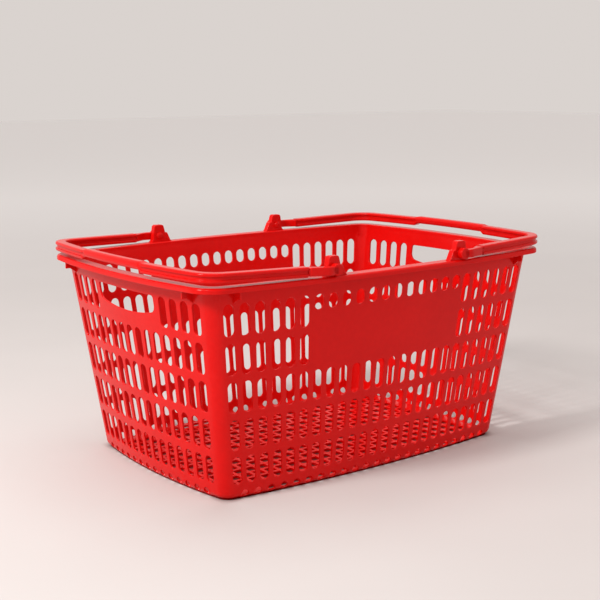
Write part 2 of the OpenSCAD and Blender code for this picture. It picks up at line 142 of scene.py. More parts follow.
# ---------------------------------------------------------------- mesh gathering
class Shell:
    """Gathers quads with their own normals, then welds them into one object."""

    def __init__(self):
        self.v, self.n, self.f, self.count = [], [], [], 0

    def grid(self, pts, nrm, loop=False, flip=False):
        """pts: rows x points x 3. Quads between neighbours; loop closes each row."""
        rows, cols = pts.shape[:2]
        base = self.count
        self.v.append(pts.reshape(-1, 3))
        self.n.append(nrm.reshape(-1, 3))
        self.count += rows * cols
        idx = base + np.arange(rows * cols).reshape(rows, cols)
        nxt = np.roll(idx, -1, axis=1) if loop else idx[:, 1:]
        cur = idx if loop else idx[:, :-1]
        q = np.stack([cur[:-1], nxt[:-1], nxt[1:], cur[1:]], -1).reshape(-1, 4)
        self.f.append(q[:, ::-1] if flip else q)

    def polygon(self, pts, nrm, faces):
        """Faces of any size over one list of points, with one normal for all of them."""
        base = self.count
        self.v.append(np.asarray(pts, float))
        self.n.append(np.broadcast_to(np.asarray(nrm, float), (len(pts), 3)).copy())
        self.count += len(pts)
        for f in faces:
            self.f.append(np.array([[base + i for i in f]]))

    def add(self, other, matrix):
        """Takes in another shell, turned or mirrored."""
        m = np.array(matrix, float)
        flip = np.linalg.det(m) < 0
        for v, n in zip(other.v, other.n):
            self.v.append(v @ m.T)
            self.n.append(n @ m.T)
        for f in other.f:
            g = f + self.count
            self.f.append(g[:, ::-1] if flip else g)
        self.count += other.count

    def build(self, name):
        """Welds points closer than 4 microns, drops collapsed faces, turns each face to its normals."""
        v = np.vstack(self.v)
        n = np.vstack(self.n)
        key = np.round(v / 0.004).astype(np.int64)
        _, first, inv = np.unique(key, axis=0, return_index=True, return_inverse=True)
        inv = inv.reshape(-1)
        v, n = v[first], n[first]
        faces = []
        for block in self.f:
            for row in inv[block]:
                ids = [int(i) for i in row]
                keep = [a for k, a in enumerate(ids) if a != ids[k - 1]]
                if len(keep) > 2 and len(set(keep)) == len(keep):
                    c = v[keep]
                    area = sum(np.cross(c[i] - c[0], c[i + 1] - c[0]) for i in range(1, len(keep) - 1))
                    wrong_way = area @ n[keep].mean(0) < -0.3 * np.linalg.norm(area)
                    faces.append(keep[::-1] if wrong_way else keep)
        me = bpy.data.meshes.new(name)
        me.from_pydata(mm(v).tolist(), [], faces)
        me.validate(clean_customdata=False)
        me.update()
        me.polygons.foreach_set("use_smooth", [True] * len(me.polygons))
        length = np.linalg.norm(n, axis=1)
        n[length > 0] /= length[length > 0][:, None]
        me.normals_split_custom_set_from_vertices(n.tolist())
        ob = bpy.data.objects.new(name, me)
        bpy.context.scene.collection.objects.link(ob)
        return ob


def wall_normals(wall, h, z, off):
    """Normals of a wall's face, from its slopes along and up the wall."""
    e = 0.5
    higher, lower = grow(z + e, TX) / grow(z, TX), grow(z - e, TX) / grow(z, TX)
    dh = wall(h + e, z, off) - wall(h - e, z, off)
    dz = wall(h * higher, z + e, off) - wall(h * lower, z - e, off)
    n = np.cross(dh, dz)
    return n / np.linalg.norm(n, axis=-1, keepdims=True)


# rounding of every slot's edges: its radius and the angles of its rings
EDGE_R = 0.55
BEVEL = (0.0, math.pi / 4, math.pi / 2)


def ring_cell(shell, wall, outline, out_n, boundary, sign):
    """One hole: outline and boundary are matched lists of (h, z). sign is +1 where h runs left to right seen
    from outside."""
    rings, nrms = [], []
    h, z = outline[:, 0], outline[:, 1]
    nh, nz = out_n[:, 0], out_n[:, 1]

    def border(off, side):
        rings.append(wall(boundary[:, 0], boundary[:, 1], off))
        nrms.append(side * sign * wall_normals(wall, boundary[:, 0], boundary[:, 1], off))

    border(0.0, 1)
    step = wall(h + nh * 0.2, z + nz * 0.2, 0.0) - wall(h, z, 0.0)
    into_hole = -step / np.linalg.norm(step, axis=-1, keepdims=True)
    for side, angles in ((1, BEVEL), (-1, BEVEL[::-2])):
        for a in angles:
            e = EDGE_R * (1 - math.sin(a))
            t = EDGE_R * (1 - math.cos(a)) / WALL_T
            hh, zz = h + nh * e, z + nz * e
            outer, inner = wall(hh, zz, 0.0), wall(hh, zz, -WALL_T)
            facing = side * sign * wall_normals(wall, hh, zz, 0.0)
            rings.append(outer + (inner - outer) * (t if side > 0 else 1 - t))
            nrms.append(math.cos(a) * facing + math.sin(a) * into_hole)
    border(-WALL_T, -1)
    shell.grid(np.array(rings), np.array(nrms), loop=True, flip=sign < 0)


def capsule(u0, u1, z0, z1, w, arc, side):
    """Round-ended slot outline from its top right, anticlockwise as (h, z), with its outward directions.
    arc: segments of 45 degrees; side: segments of the straight run."""
    lean = math.atan2(u1 - u0, z1 - z0)
    run = math.hypot(u1 - u0, z1 - z0)
    pts, nrm = [], []
    top, bot = run - w / 2, w / 2

    def end(height, first, eighths):
        for i in range(eighths * arc):
            a = math.pi / 4 * (first + i / arc)
            pts.append((w / 2 * math.cos(a), height + w / 2 * math.sin(a)))
            nrm.append((math.cos(a), math.sin(a)))

    def straight(x, start, stop):
        for i in range(side):
            pts.append((x, start + (stop - start) * i / side))
            nrm.append((math.copysign(1.0, x), 0.0))

    end(top, 1, 3)
    straight(-w / 2, top, bot)
    end(bot, 4, 4)
    straight(w / 2, bot, top)
    end(top, 0, 1)
    c, s = math.cos(lean), math.sin(lean)
    rot = np.array([[c, -s], [s, c]])
    return np.array(pts) @ rot + [u0, z0], np.array(nrm) @ rot


# segments of a slot's outline for each eighth of a turn and each straight side, which a cell's edges match
ARC, RUN = 3, 2
ACROSS = 2 * ARC
DOWN = 2 * ARC + RUN


def cell_edge(s0, s1, levels, taper, across=ACROSS):
    """Boundary of a cell between two web lines, from its top right corner anticlockwise. levels: heights down
    the side."""
    top, bot = levels[0], levels[-1]
    pts = [(s1 + (s0 - s1) * i / across, top) for i in range(across)]
    pts += [(s0, z) for z in levels[:-1]]
    pts += [(s0 + (s1 - s0) * i / across, bot) for i in range(across)]
    pts += [(s1, z) for z in levels[:0:-1]]
    pts = np.array(pts)
    pts[:, 0] *= grow(pts[:, 1], taper)
    return pts


def blank_cell(shell, wall, s0, s1, levels, taper, sign, across=ACROSS):
    """A cell without a hole, on both faces of the wall."""
    s = s0 + (s1 - s0) * np.arange(across + 1) / across
    s, z = np.meshgrid(s, np.array(levels))
    h = s * grow(z, taper)
    for off, side in ((0.0, 1), (-WALL_T, -1)):
        facing = side * sign * wall_normals(wall, h, z, off)
        shell.grid(wall(h, z, off), facing, flip=(sign > 0) == (side > 0))


def levels_for(cell_top, cell_bot, slot_top, slot_bot, w):
    """Heights down a cell's side, in step with the right side of its slot's outline."""
    r = w / 2
    inner = [slot_top - r + r * math.sin(math.pi / 4 * (1 - i / ARC)) for i in range(1, ARC + 1)]
    inner += [slot_top - r + (slot_bot + r - (slot_top - r)) * i / RUN for i in range(1, RUN + 1)]
    inner += [slot_bot + r - r * math.sin(math.pi / 4 * i / ARC) for i in range(1, ARC)]
    return [cell_top] + inner + [cell_bot]


# rows of slots as (top and bottom of the cell, top and bottom of the slot), met in the middle of their bars
BAR = (ROW_PITCH - SLOT_H) / 2
LOWEST, UNDER_LOWEST = 4, 3.0
ROWS = []
for r in range(LOWEST + 1):
    t = ROW_TOP - r * ROW_PITCH
    b = t - (LOW_H if r == LOWEST else SLOT_H)
    ROWS.append((t + BAR, b - (UNDER_LOWEST if r == LOWEST else BAR), t, b))
TOP_BAND = ROWS[0][0]
FOOT_BAND = ROWS[LOWEST][1]

# openings in the turned-under foot, counted along its curve, which ends 75 degrees round
FOOT_END = FOOT_R - FOOT_R * math.radians(75)
OPEN_TOP, OPEN_BOT, OPEN_W = 10.2, 1.0, 8.8
FOOT_LEVELS = levels_for(FOOT_BAND, FOOT_END, OPEN_TOP, OPEN_BOT, OPEN_W)


def hand_hole_outline(across, down):
    """Outline in step with a cell edge of that many segments, from the top right corner anticlockwise."""
    top_r = 3.0
    half = HOLE_L / 2
    zc = HOLE_BOT + SWEEP_R
    knee = half - KNEE_R
    kz = zc - math.sqrt((SWEEP_R - KNEE_R) ** 2 - knee ** 2)
    dense = []

    def turn_round(x, z, r, a0, a1, steps, first=0):
        for i in range(first, steps + 1):
            a = a0 + (a1 - a0) * i / steps
            dense.append((x + r * math.cos(a), z + r * math.sin(a), a))
        return len(dense) - 1

    eighth, top_x, top_z = math.pi / 4, half - top_r, HOLE_TOP - top_r
    tang = math.atan2(kz - zc, -knee) % (2 * math.pi)
    turn_round(top_x, top_z, top_r, eighth, 2 * eighth, 8)
    mark1 = turn_round(-top_x, top_z, top_r, 2 * eighth, 3 * eighth, 8)
    turn_round(-top_x, top_z, top_r, 3 * eighth, math.pi, 8)
    mark2 = turn_round(-knee, kz, KNEE_R, math.pi, tang, 12)
    mark3 = turn_round(0, zc, SWEEP_R, tang, 3 * math.pi - tang, 40, 1)
    turn_round(knee, kz, KNEE_R, 3 * math.pi - tang, 2 * math.pi, 12)
    turn_round(top_x, top_z, top_r, 2 * math.pi, 2 * math.pi + eighth, 8)
    d = np.array(dense)

    def part(i0, i1, n):
        """n points from one mark towards the next, spaced by distance and turn."""
        seg = d[i0:i1 + 1]
        step = np.hypot(np.diff(seg[:, 0]), np.diff(seg[:, 1])) + 3.0 * np.abs(np.diff(seg[:, 2]))
        s = np.concatenate([[0], np.cumsum(step)])
        t = s[-1] * np.arange(n) / n
        return np.stack([np.interp(t, s, seg[:, k]) for k in range(3)], -1)

    m = np.vstack([part(0, mark1, across), part(mark1, mark2, down), part(mark2, mark3, across),
                   part(mark3, len(d) - 1, down)])
    return m[:, :2], np.stack([np.cos(m[:, 2]), np.sin(m[:, 2])], -1)


def side_wall(shell, wall, cols, pitch, taper, long_side, sign):
    """One slotted side: a label panel in the long sides, a hand hole in the short ones, foot openings."""
    half = cols / 2
    ends = TALL if long_side else SIDE
    for c in range(cols):
        s0, s1 = (c - half) * pitch, (c + 1 - half) * pitch
        u = (s0 + s1) / 2
        middle = ends <= c < cols - ends
        for r, (cell_top, cell_bot, top, bot) in enumerate(ROWS):
            width = SLOT_W * float(grow(bot, taper))
            levels = levels_for(cell_top, cell_bot, top, bot, width)
            if middle and r == 0 and not long_side:
                continue
            if middle and r == 1 and long_side:
                blank_cell(shell, wall, s0, s1, levels, taper, sign)
                continue
            if middle and r == 0:
                bot = top - OVAL_H
                width = SLOT_W * float(grow(bot, taper))
            o, n = capsule(u * grow(bot, taper), u * grow(top, taper), bot, top, width, ARC, RUN)
            ring_cell(shell, wall, o, n, cell_edge(s0, s1, levels, taper), sign)
        if c + 1 < cols:
            line = s1 * float(grow(NOTCH_Z, taper))
            o, n = capsule(line, line, OPEN_BOT, OPEN_TOP, OPEN_W, ARC, RUN)
            ring_cell(shell, wall, o, n, cell_edge(u, u + pitch, FOOT_LEVELS, taper), sign)
    for s0 in (-half * pitch, (half - 0.5) * pitch):
        blank_cell(shell, wall, s0, s0 + pitch / 2, FOOT_LEVELS, taper, sign, ACROSS // 2)
    if not long_side:
        hole_cols = cols - 2 * SIDE
        reach, across = hole_cols / 2 * pitch, ACROSS * hole_cols
        bot = ROWS[0][3]
        levels = levels_for(*ROWS[0], SLOT_W * float(grow(bot, taper)))
        o, n = hand_hole_outline(across, DOWN)
        ring_cell(shell, wall, o, n, cell_edge(-reach, reach, levels, taper, across), sign)


# ---------------------------------------------------------------- corners, rim band and foot
N_ARC = 14
A_X = -COLS_L / 2 * PITCH_L
B_Y = -COLS_S / 2 * PITCH_S
T_ARC = np.arange(N_ARC + 2) / (N_ARC + 1)


def corner_top(off):
    """Stations from the near wall's end to the left wall's. off is one offset, or one for each station."""
    off = np.full(N_ARC + 2, off) if np.ndim(off) == 0 else np.asarray(off, float)
    rc = CORNER_R + off[..., :-1]
    a0 = 2 * math.pi - np.arccos((A_X - CX) / rc[..., :1])
    a1 = math.pi + SA
    a = a0 + (a1 - a0) * np.arange(N_ARC + 1) / N_ARC
    arc = np.stack([CX + rc * np.cos(a), CY + rc * np.sin(a)], -1)
    return np.concatenate([arc, left_top(np.full(off[..., -1:].shape, B_Y), off[..., -1:])], -2)


def corner_wall(off, z):
    """3-D points round the corner, for one height a station or rows of them."""
    z = np.asarray(z, float)
    true_z, shift = foot_curve(z, min(1.0, max(0.0, -off / WALL_T)))
    ka, kb = grow(z, TX), grow(z, TY)
    q = corner_top(off - shift / (ka * (1 - T_ARC) + kb * T_ARC))
    ka, kb = ka[..., None], kb[..., None]
    pa = NEAR_MID + (q - NEAR_MID) * ka
    pb = LEFT_MID + (q - LEFT_MID) * kb
    w = T_ARC[:, None]
    return np.concatenate([pa * (1 - w) + pb * w, true_z[..., None]], -1)


def all_levels(taper):
    """Every height down the end of a side, so that the corner's rows meet it point by point."""
    out = []
    for row in ROWS:
        out += levels_for(*row, SLOT_W * float(grow(row[3], taper)))[:-1]
    return np.array(out + FOOT_LEVELS)


DRAFT_N = HALF_W * (1 - 1 / TY) / WALL_H
DRAFT_L = HALF_L * (1 - 1 / TX) / WALL_H


def part_near():
    """Placing function and draft of the near side's stations. The part above the flange's underside is
    straight."""
    x = A_X + np.arange(COLS_L * ACROSS + 1) * PITCH_L / ACROSS

    def place(off, z, straight):
        zz = np.full(x.shape, z)
        if straight:
            return np.concatenate([near_top(x, off), zz[:, None]], -1)
        return near_wall(x * grow(zz, TX), zz, off)
    return place, np.full(x.shape, DRAFT_N)


def part_left():
    """The same for the left side."""
    y = -B_Y - np.arange(COLS_S * ACROSS + 1) * PITCH_S / ACROSS

    def place(off, z, straight):
        zz = np.full(y.shape, z)
        if straight:
            return np.concatenate([left_top(y, off), zz[:, None]], -1)
        return left_wall(y * grow(zz, TY), zz, off)
    return place, np.full(y.shape, DRAFT_L)


def part_corner():
    """The same for the corner."""
    def place(off, z, straight):
        zz = np.full(N_ARC + 2, z)
        if straight:
            return np.concatenate([corner_top(off), zz[:, None]], -1)[::-1]
        return corner_wall(off, zz)[::-1]
    return place, (DRAFT_N + (DRAFT_L - DRAFT_N) * T_ARC)[::-1]


def arc_pts(cx, cz, r, a0, a1, n):
    """Points on a fillet with their directions, in the profile's plane."""
    out = []
    for i in range(n + 1):
        a = math.radians(a0 + (a1 - a0) * i / n)
        out.append((cx + r * math.cos(a), cz + r * math.sin(a), math.cos(a), math.sin(a)))
    return out


def rim_profile():
    """(offset, z, normal out, normal up, straight) from the inner band over the top and the lip to the outer
    band."""
    p = [(-WALL_T, TOP_BAND, None, -1, False), (-WALL_T, WALL_H - 4, None, -1, False),
         (-WALL_T, WALL_H, -1.0, 0.06, True)]
    p += [(*q, True) for q in arc_pts(-WALL_T + 1.4, RIM_Z - 1.4, 1.4, 180, 90, 4)]
    p += [(4.0, RIM_Z, 0.0, 1.0, True)]
    p += [(*q, True) for q in arc_pts(RIM_OUT - 3.0, RIM_Z - 3.0, 3.0, 90, 0, 6)]
    p += [(*q, True) for q in arc_pts(RIM_OUT - 0.5, RIM_Z - LIP_H + 0.5, 0.5, 0, -90, 3)]
    inner = RIM_OUT - LIP_T
    p += [(*q, True) for q in arc_pts(inner + 0.5, RIM_Z - LIP_H + 0.5, 0.5, -90, -180, 3)]
    p += [(o, z, -nx, -nz, True) for o, z, nx, nz in arc_pts(inner - 1.0, WALL_H - 1.0, 1.0, 0, 90, 3)]
    p += [(o, z, -nx, -nz, True) for o, z, nx, nz in arc_pts(1.2, WALL_H - 1.2, 1.2, 90, 180, 3)]
    p += [(0.0, TOP_BAND, None, 1, False)]
    return p


def foot_profile():
    """Closing strip under the turned-in foot, inside the edge of the floor."""
    return [(0.0, FOOT_END, -0.9, -0.4, False), (-WALL_T, FOOT_END, -0.9, -0.4, False)]


def sweep(shell, part, profile):
    """Carries a profile along one part's stations."""
    place, draft = part
    pts, nrm = [], []
    for off, z, n_out, n_up, straight in profile:
        a = place(off, z, straight)
        b = place(off + 0.5, z, straight)
        d = b - a
        d[:, 2] = 0
        d /= np.linalg.norm(d, axis=1, keepdims=True)
        if n_out is None:
            nn = d * n_up
            nn[:, 2] = -draft * n_up
        else:
            nn = d * n_out
            nn[:, 2] = n_up
        nn /= np.linalg.norm(nn, axis=1, keepdims=True)
        pts.append(a)
        nrm.append(nn)
    shell.grid(np.array(pts), np.array(nrm), flip=True)


near_shell, left_shell, corner_shell = Shell(), Shell(), Shell()
side_wall(near_shell, near_wall, COLS_L, PITCH_L, TX, True, 1)
side_wall(left_shell, left_wall, COLS_S, PITCH_S, TY, False, -1)
for sub, part in ((near_shell, part_near()), (left_shell, part_left()), (corner_shell, part_corner())):
    sweep(sub, part, rim_profile())
    sweep(sub, part, foot_profile())

# the corner post's two faces, with normals from their slopes
heights = all_levels(TX)[:, None] * (1 - T_ARC) + all_levels(TY)[:, None] * T_ARC
for off, side in ((0.0, 1), (-WALL_T, -1)):
    post = corner_wall(off, heights)
    rise = corner_wall(off, heights + 0.4) - corner_wall(off, heights - 0.4)
    facing = np.cross(rise, np.gradient(post, axis=1))
    facing /= np.linalg.norm(facing, axis=-1, keepdims=True)
    middle = N_ARC // 2
    away = np.sign(facing[0, middle, :2] @ post[0, middle, :2])
    corner_shell.grid(post, side * away * facing, flip=side < 0)

EYE = np.eye(3)
TURN = np.diag([-1.0, -1.0, 1.0])
MIRROR_X = np.diag([-1.0, 1.0, 1.0])
MIRROR_Y = np.diag([1.0, -1.0, 1.0])
tub = Shell()
for sub in (near_shell, left_shell, corner_shell):
    tub.add(sub, EYE)
    tub.add(sub, TURN)
tub.add(corner_shell, MIRROR_X)
tub.add(corner_shell, MIRROR_Y)
tub_shell = tub.build("tub_shell")


# ---------------------------------------------------------------- floor grid
STEP_X, STEP_Y = PITCH_L * float(true_size(FLOOR_Z, TX)), PITCH_S * float(true_size(FLOOR_Z, TY))
SIDE_ROWS, TRIM = (COLS_S + 1) // 2, 3
FLOOR_EDGE, HOLE_ROUND = 0.45, 1.0
HOLE_FLAT = FLOOR_HOLE / 2 - HOLE_ROUND
UP, DOWNWARD = np.array([0, 0, 1.0]), np.array([0, 0, -1.0])
CORNER_SIGNS = ((1, 1), (-1, 1), (-1, -1), (1, -1))


def floor_hole(e):
    """Outline of one square hole, e wider than its throat, anticlockwise with its outward directions."""
    out, facing = [], []
    for k, (sx, sy) in enumerate(CORNER_SIGNS):
        for i in range(3):
            a = math.pi / 2 * k + math.pi / 4 * i
            c, s = math.cos(a), math.sin(a)
            out.append((sx * HOLE_FLAT + (HOLE_ROUND + e) * c, sy * HOLE_FLAT + (HOLE_ROUND + e) * s))
            facing.append((c, s))
    return np.array(out), np.array(facing)


def floor_cell():
    """Rings of one floor cell as (points, normals): the top, the hole's rounded edges and the underside."""
    hx, hy = STEP_X / 2, STEP_Y / 2
    border = []
    for k, (sx, sy) in enumerate(CORNER_SIGNS):
        corner = [(sx * hx, sy * HOLE_FLAT), (sx * hx, sy * hy), (sx * HOLE_FLAT, sy * hy)]
        border += corner if k % 2 == 0 else corner[::-1]
    border = np.array(border)
    top, bot = FLOOR_Z + FLOOR_T, FLOOR_Z
    s = math.sqrt(0.5)
    slope = FLOOR_EDGE * (1 - s)
    rings = []
    # how far out the ring is (None for the cell's border), its height, and its upward and inward lean
    for e, z, rise, lean in ((None, top, 1, 0), (FLOOR_EDGE, top, 1, 0), (slope, top - slope, s, s),
                             (0, top - FLOOR_EDGE, 0, 1), (0, bot + FLOOR_EDGE, 0, 1),
                             (slope, bot + slope, -s, s), (FLOOR_EDGE, bot, -1, 0), (None, bot, -1, 0)):
        p, facing = floor_hole(e or 0)
        p = border if e is None else p
        pts = np.column_stack([p, np.full(len(p), z)])
        rings.append((pts, np.column_stack([-facing * lean, np.zeros(len(p))]) + UP * rise))
    return rings


def floor_outline():
    """Plan outline of the floor's edge, inside the walls' faces."""
    kx, ky, inset = float(true_size(FLOOR_Z, TX)), float(true_size(FLOOR_Z, TY)), -WALL_T - 1.1
    near = NEAR_MID + (near_top(np.linspace(A_X + 2, -A_X - 2, 49), inset) - NEAR_MID) * kx
    left = LEFT_MID + (left_top(np.linspace(B_Y + 2, -B_Y - 2, 33), inset) - LEFT_MID) * ky
    q, w = corner_top(inset), T_ARC[:, None]
    corner = ((NEAR_MID + (q - NEAR_MID) * kx) * (1 - w) + (LEFT_MID + (q - LEFT_MID) * ky) * w)[1:]
    swing, over = np.array([-1, 1.0]), np.array([1, -1.0])
    outer = np.vstack([near, corner * swing, left * swing, (corner * swing * over)[::-1],
                       near[::-1] * over, corner * over, left[::-1], corner[::-1]])
    clean = []
    for q in outer:
        if not clean or math.dist(q, clean[-1]) > 0.3:
            clean.append(tuple(q))
    if math.dist(clean[0], clean[-1]) < 0.3:
        clean.pop()
    return clean


def grid_border(used):
    """Border of the used cells, as a loop of the cells' own points."""
    hx, hy, e = STEP_X / 2, STEP_Y / 2, HOLE_FLAT
    following = {}
    for c, r in used:
        cx, cy = (c - (COLS_L - 1) / 2) * STEP_X, r * STEP_Y
        for dc, dr, pts in ((0, -1, [(-hx, -hy), (-e, -hy), (e, -hy), (hx, -hy)]),
                            (1, 0, [(hx, -hy), (hx, -e), (hx, e), (hx, hy)]),
                            (0, 1, [(hx, hy), (e, hy), (-e, hy), (-hx, hy)]),
                            (-1, 0, [(-hx, hy), (-hx, e), (-hx, -e), (-hx, -hy)])):
            if (c + dc, r + dr) not in used:
                q = [(round(cx + x, 4), round(cy + y, 4)) for x, y in pts]
                for i in range(3):
                    following[q[i]] = q[i + 1]
    start = next(iter(following))
    loop, at = [start], following[start]
    while at != start:
        loop.append(at)
        at = following[at]
    return loop


def floor_mesh():
    """The floor's grid and the plain margin round it, out to the walls."""
    sh = Shell()
    rings = floor_cell()
    used = set()
    for r in range(-SIDE_ROWS, SIDE_ROWS + 1):
        trim = TRIM if abs(r) == SIDE_ROWS else 0
        for c in range(trim, COLS_L - trim):
            place = [(c - (COLS_L - 1) / 2) * STEP_X, r * STEP_Y, 0]
            used.add((c, r))
            sh.grid(np.array([p + place for p, _ in rings]), np.array([n for _, n in rings]), loop=True)
    outer, inner = floor_outline(), grid_border(used)[::-1]
    flat = outer + inner
    tris = tessellate_polygon([[Vector((x, y, 0)) for x, y in line] for line in (outer, inner)])
    for z, facing in ((FLOOR_Z + FLOOR_T, UP), (FLOOR_Z, DOWNWARD)):
        faces = []
        for t in tris:
            a, b, c = (np.array(flat[i]) for i in t)
            ccw = np.cross(b - a, c - a) > 0
            faces.append(t if ccw == (facing[2] > 0) else t[::-1])
        sh.polygon([(x, y, z) for x, y in flat], facing, faces)
    ring = np.array([[(x, y, z) for x, y in outer] for z in (FLOOR_Z, FLOOR_Z + FLOOR_T)])
    out = np.array([[(x, y, 0) for x, y in outer]] * 2)
    sh.grid(ring, out / np.linalg.norm(out, axis=-1, keepdims=True), loop=True)
    return sh.build("tub_floor")


tub_floor = floor_mesh()


# ---------------------------------------------------------------- small solid helpers
def rounded(bm, name, edges, width, segments):
    """Rounds the given edges of a closed mesh and makes it an object with even shading."""
    bmesh.ops.bevel(bm, geom=edges, offset=width * 0.001, segments=segments, profile=0.5, affect="EDGES",
                    clamp_overlap=True)
    me = bpy.data.meshes.new(name)
    bm.to_mesh(me)
    bm.free()
    me.polygons.foreach_set("use_smooth", [True] * len(me.polygons))
    ob = bpy.data.objects.new(name, me)
    bpy.context.scene.collection.objects.link(ob)
    even = ob.modifiers.new("even", "WEIGHTED_NORMAL")
    even.keep_sharp = True
    return ob


def prism(outline, d0, d1):
    """Closed prism over an (x, z) outline, from depth d0 to d1."""
    n = len(outline)
    v = [(x, d0, z) for x, z in outline] + [(x, d1, z) for x, z in outline]
    f = [list(range(n)), list(range(2 * n - 1, n - 1, -1))]
    f += [[i, (i + 1) % n, n + (i + 1) % n, n + i] for i in range(n)]
    return np.array(v, float), f


# ---------------------------------------------------------------- stacking fins
FIN_X, FIN_Y, FIN_T, FIN_OUT, FIN_Z = 205.0, 128.0, 2.0, 11.0, 224.0


def fin_outline(draft):
    """One fin seen from its side, as (distance out of the wall, height)."""
    foot = FIN_Z - FIN_OUT / 2
    curve = [(FIN_OUT / 2 - 1.2, FIN_Z - 0.9), (FIN_OUT / 2, FIN_Z - 0.15), (FIN_OUT / 2 + 1.0, FIN_Z)]
    return [(-0.6, WALL_H + 0.4), (-0.6 - (WALL_H - foot) * draft, foot - 0.6)] + curve + \
        [(FIN_OUT, FIN_Z), (FIN_OUT, WALL_H + 0.4)]


def fins(name, long_side, turn):
    """The two fins of one side, with every sharp edge rounded."""
    vs, fs, base = [], [], 0
    draft = DRAFT_N if long_side else DRAFT_L
    for sgn in (-1, 1):
        v, f = prism(fin_outline(draft), -FIN_T / 2, FIN_T / 2)
        if long_side:
            y0 = float(near_top(FIN_X)[1])
            v = np.stack([sgn * FIN_X + v[:, 1], y0 - v[:, 0], v[:, 2]], -1)
        else:
            x0 = float(left_top(FIN_Y)[0])
            v = np.stack([x0 - v[:, 0], sgn * FIN_Y + v[:, 1], v[:, 2]], -1)
        vs.append(v @ turn.T)
        fs += [[i + base for i in q] for q in f]
        base += len(v)
    me = bpy.data.meshes.new(name + "_blank")
    me.from_pydata(mm(np.vstack(vs)).tolist(), [], fs)
    bm = bmesh.new()
    bm.from_mesh(me)
    bpy.data.meshes.remove(me)
    bmesh.ops.recalc_face_normals(bm, faces=bm.faces)
    sharp = [e for e in bm.edges if len(e.link_faces) == 2 and e.calc_face_angle(0) > math.radians(35)]
    ob = rounded(bm, name, sharp, 0.35, 2)
    ob.modifiers["even"].weight = 60
    return ob


fin_obs = [fins("fins_near_p", True, EYE), fins("fins_far_p", True, TURN),
           fins("fins_left_p", False, EYE), fins("fins_right_p", False, TURN)]


# ---------------------------------------------------------------- lugs
LUG_T, LUG_TOP, BORE_D, LUG_SET = 7.8, 259.5, 7.1, 6.0
LUG_IN = float(near_top(PIVOT_X, -WALL_T)[1]) - LUG_SET
LUG_OUT = LUG_IN - LUG_T


def fillet(points, radii, seg=6):
    """Rounds each corner of a plan outline by its own radius."""
    out = []
    n = len(points)
    for i in range(n):
        p0, p1, p2 = (np.array(points[(i + k) % n], float) for k in (-1, 0, 1))
        r = radii[i]
        a, b = p0 - p1, p2 - p1
        la, lb = np.linalg.norm(a), np.linalg.norm(b)
        a, b = a / la, b / lb
        half = math.acos(max(-1, min(1, float(a @ b)))) / 2
        if r <= 0 or half > math.pi / 2 - 0.02:
            out.append(tuple(p1))
            continue
        d = min(r / math.tan(half), la * 0.49, lb * 0.49)
        rr = d * math.tan(half)
        c = p1 + (a + b) / np.linalg.norm(a + b) * rr / math.sin(half)
        v0, v1 = p1 + a * d - c, p1 + b * d - c
        a0 = math.atan2(v0[1], v0[0])
        da = (math.atan2(v1[1], v1[0]) - a0 + math.pi) % (2 * math.pi) - math.pi
        for k in range(seg + 1):
            t = a0 + da * k / seg
            out.append((c[0] + rr * math.cos(t), c[1] + rr * math.sin(t)))
    return out


def lug(name, turn):
    """Upright plate with a stepped foot towards the middle, and the pivot's bore through it."""
    pts = [(-12.0, RIM_Z - 0.5), (18.5, RIM_Z - 0.5), (16.5, RIM_Z + 1.5), (12.0, RIM_Z + 11.0),
           (9.0, RIM_Z + 11.6), (6.3, LUG_TOP), (-6.3, LUG_TOP), (-9.2, RIM_Z + 2.5)]
    rad = [0, 0, 1.6, 1.4, 1.6, 3.4, 3.4, 2.2]
    o = fillet(pts, rad)
    dense = []
    for i, p in enumerate(o):
        q = o[(i + 1) % len(o)]
        k = max(1, int(math.hypot(q[0] - p[0], q[1] - p[1]) / 1.5))
        dense += [(p[0] + (q[0] - p[0]) * j / k, p[1] + (q[1] - p[1]) * j / k) for j in range(k)]
    o = np.array(dense)
    ang = np.arctan2(o[:, 1] - PIVOT_Z, o[:, 0])
    bore = np.stack([np.cos(ang), np.sin(ang)], -1)
    cen = np.array([0, PIVOT_Z])
    run = np.roll(o, -1, axis=0) - np.roll(o, 1, axis=0)
    out_n = np.stack([run[:, 1], -run[:, 0]], -1)
    out_n *= np.sign((out_n * (o - cen)).sum()) / np.linalg.norm(out_n, axis=1, keepdims=True)
    sh = Shell()
    b, r = 0.8, BORE_D / 2
    rings, nrm = [], []

    def put(p, y, n2, ny):
        rings.append(np.column_stack([p[:, 0] - PIVOT_X, np.full(len(p), y), p[:, 1]]))
        nrm.append(np.column_stack([n2[:, 0], np.full(len(p), ny), n2[:, 1]]))
    zero = out_n * 0
    angs = [math.pi / 2 * i / 3 for i in range(4)]
    put(cen + bore * r, LUG_OUT + 0.4, -bore, 0)
    put(cen + bore * (r + 0.4), LUG_OUT, zero, -1)
    put(o - out_n * b, LUG_OUT, zero, -1)
    for face_y, way, run in ((LUG_OUT, 1, angs), (LUG_IN, -1, angs[::-1])):
        for a in run:
            y = face_y + way * b * (1 - math.cos(a))
            put(o - out_n * b * (1 - math.sin(a)), y, out_n * math.sin(a), -way * math.cos(a))
    put(cen + bore * (r + 0.4), LUG_IN, zero, 1)
    put(cen + bore * r, LUG_IN - 0.4, -bore, 0)
    put(cen + bore * r, LUG_OUT + 0.4, -bore, 0)
    sh.grid(np.array(rings), np.array(nrm), loop=True)
    whole = Shell()
    whole.add(sh, turn)
    return whole.build(name)


lug_obs = {"lug_near_left": lug("lug_near_left_p", EYE), "lug_near_right": lug("lug_near_right_p", MIRROR_X),
           "lug_far_left": lug("lug_far_left_p", MIRROR_Y), "lug_far_right": lug("lug_far_right_p", TURN)}


